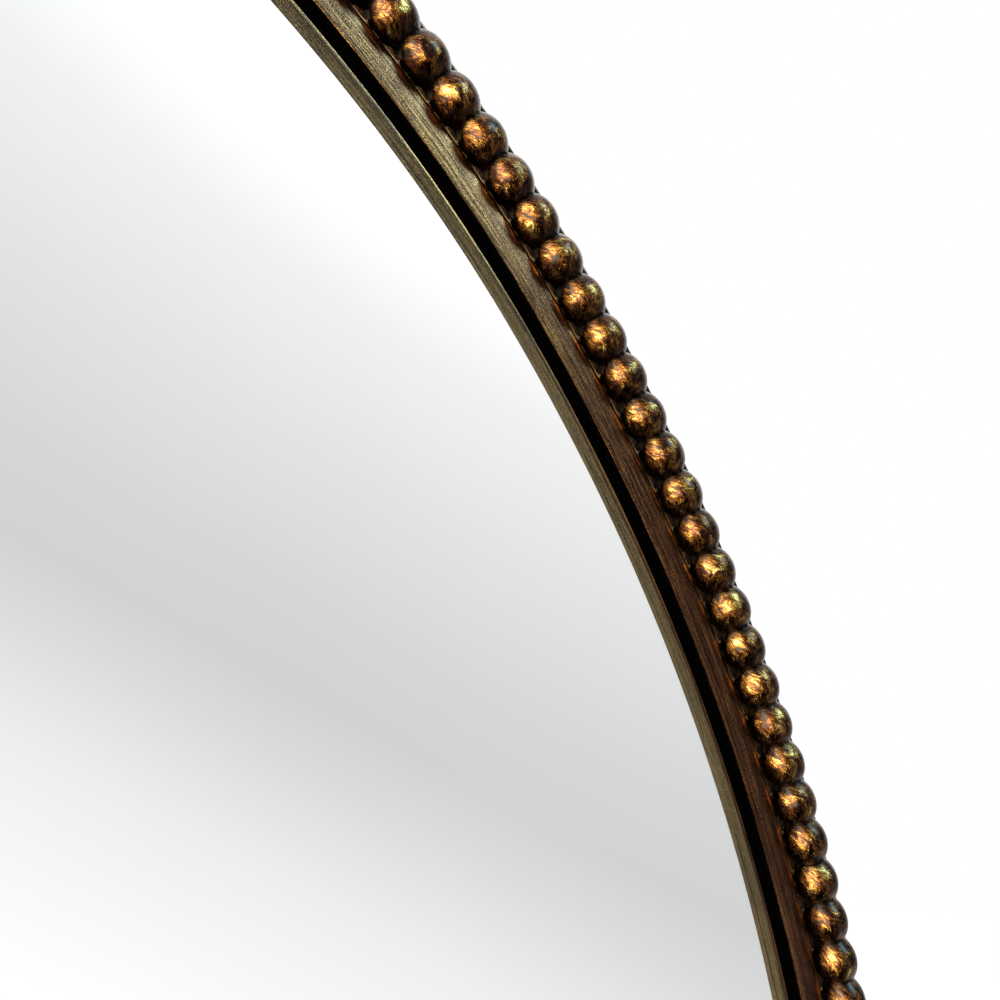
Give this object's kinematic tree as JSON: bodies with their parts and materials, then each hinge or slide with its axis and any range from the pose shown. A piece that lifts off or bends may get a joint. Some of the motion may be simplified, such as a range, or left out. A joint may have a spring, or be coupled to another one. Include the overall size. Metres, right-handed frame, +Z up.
{
  "type": "oval wall mirror",
  "caption": "Oval wall mirror: bronze frame with flat band, shadow groove and strand of beads, loose liner, reglazing back with turn buttons and swinging ring hangers.",
  "frame": {"origin": "on the wall plane, behind the middle of the oval", "axes": "+X to the right as seen from the front, +Y into the wall, +Z up"},
  "size_m": [0.5362, 0.0287, 0.7662],
  "materials": {
    "frame_finish": "worn bronze lacquer",
    "bead_finish": "moulded resin with rubbed bronze leaf",
    "liner_finish": "worn bronze lacquer",
    "mirror": "silvered glass",
    "foam": "closed-cell foam",
    "board": "brown fibreboard",
    "steel": "zinc plated",
    "rubber": "moulded"
  },
  "bodies": {
    "body": {"outer_frame": "frame_finish", "bead_strand_upper_right": "bead_finish", "bead_strand_upper_left": "bead_finish", "bead_strand_lower_left": "bead_finish", "bead_strand_lower_right": "bead_finish", "inner_liner": "liner_finish", "mirror_glass": "mirror", "glass_cushion_pads": "foam", "backing_board": "board", "hanger_strap_left": "steel", "hanger_strap_right": "steel", "hanger_screws": "steel", "turn_button_screws": "steel", "wall_bumpers": "rubber"},
    "ring_left": {"hanger_ring_left": "steel"},
    "ring_right": {"hanger_ring_right": "steel"},
    "button_1": {"turn_button_1": "steel"},
    "button_2": {"turn_button_2": "steel"},
    "button_3": {"turn_button_3": "steel"},
    "button_4": {"turn_button_4": "steel"},
    "button_5": {"turn_button_5": "steel"},
    "button_6": {"turn_button_6": "steel"}
  },
  "joints": [
    {"name": "ring_left_swing", "type": "hinge", "parent": "body", "child": "ring_left", "pos_m": [-0.23249, -0.00255, 0.16906], "axis": [0.9588, 0, -0.284], "range_deg": [0, 180]},
    {"name": "ring_right_swing", "type": "hinge", "parent": "body", "child": "ring_right", "pos_m": [0.23249, -0.00255, 0.16906], "axis": [0.9588, 0, 0.284], "range_deg": [0, 180]},
    {"name": "button_1_turn", "type": "hinge", "parent": "body", "child": "button_1", "pos_m": [0.2577, -0.005, 0], "axis": [0, 1, 0], "continuous": true},
    {"name": "button_2_turn", "type": "hinge", "parent": "body", "child": "button_2", "pos_m": [0.14762, -0.005, 0.30577], "axis": [0, 1, 0], "continuous": true},
    {"name": "button_3_turn", "type": "hinge", "parent": "body", "child": "button_3", "pos_m": [-0.14762, -0.005, 0.30577], "axis": [0, 1, 0], "continuous": true},
    {"name": "button_4_turn", "type": "hinge", "parent": "body", "child": "button_4", "pos_m": [-0.2577, -0.005, 0], "axis": [0, 1, 0], "continuous": true},
    {"name": "button_5_turn", "type": "hinge", "parent": "body", "child": "button_5", "pos_m": [-0.14762, -0.005, -0.30577], "axis": [0, 1, 0], "continuous": true},
    {"name": "button_6_turn", "type": "hinge", "parent": "body", "child": "button_6", "pos_m": [0.14762, -0.005, -0.30577], "axis": [0, 1, 0], "continuous": true}
  ]
}
